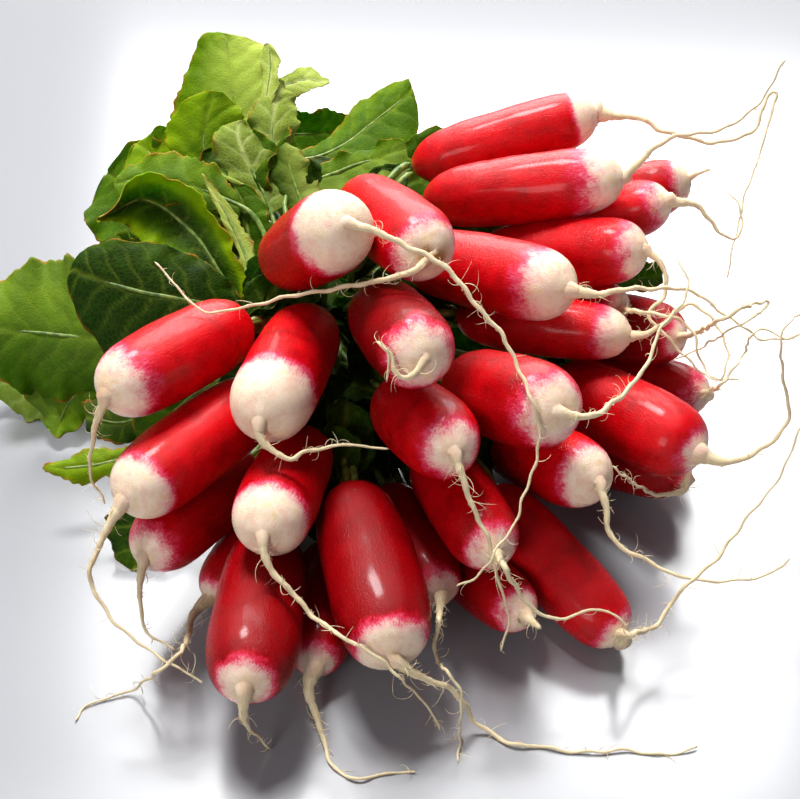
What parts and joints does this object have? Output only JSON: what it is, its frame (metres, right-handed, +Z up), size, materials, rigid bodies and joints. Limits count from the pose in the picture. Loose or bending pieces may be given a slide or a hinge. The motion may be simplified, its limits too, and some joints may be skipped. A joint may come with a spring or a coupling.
{
  "type": "bunch of radishes",
  "caption": "Bunch of slender two-tone radishes with long root tails and green leaves, tied at the stalks and lying on its side.",
  "frame": {"origin": "centre of the bounding box on the table the bunch lies on", "axes": "+Z up; the radish tips face -Y and the leaves spread towards +Y and -X"},
  "size_m": [0.2904, 0.3134, 0.1372],
  "materials": {
    "radish": "smooth damp skin, red with a white tip",
    "leaf": "soft satin leaf",
    "tie": "matt band"
  },
  "bodies": {
    "root": {"leaf_01": "leaf", "leaf_02": "leaf", "leaf_03": "leaf", "leaf_04": "leaf", "leaf_05": "leaf", "leaf_06": "leaf", "leaf_07": "leaf", "leaf_08": "leaf", "leaf_09": "leaf", "leaf_10": "leaf", "leaf_11": "leaf", "leaf_12": "leaf", "leaf_13": "leaf", "leaf_14": "leaf", "leaf_15": "leaf", "leaf_16": "leaf", "leaf_17": "leaf", "leaf_18": "leaf", "leaf_19": "leaf", "leaf_20": "leaf", "leaf_21": "leaf", "leaf_22": "leaf", "radish_01": "radish", "radish_02": "radish", "radish_03": "radish", "radish_04": "radish", "radish_05": "radish", "radish_06": "radish", "radish_07": "radish", "radish_08": "radish", "radish_09": "radish", "radish_10": "radish", "radish_11": "radish", "radish_12": "radish", "radish_13": "radish", "radish_14": "radish", "radish_15": "radish", "radish_16": "radish", "radish_17": "radish", "radish_18": "radish", "radish_19": "radish", "radish_20": "radish", "radish_21": "radish", "radish_22": "radish", "radish_23": "radish", "radish_24": "radish", "radish_25": "radish", "radish_26": "radish", "radish_27": "radish", "radish_28": "radish", "radish_29": "radish", "radish_30": "radish", "radish_31": "radish", "tie": "tie"}
  },
  "joints": []
}
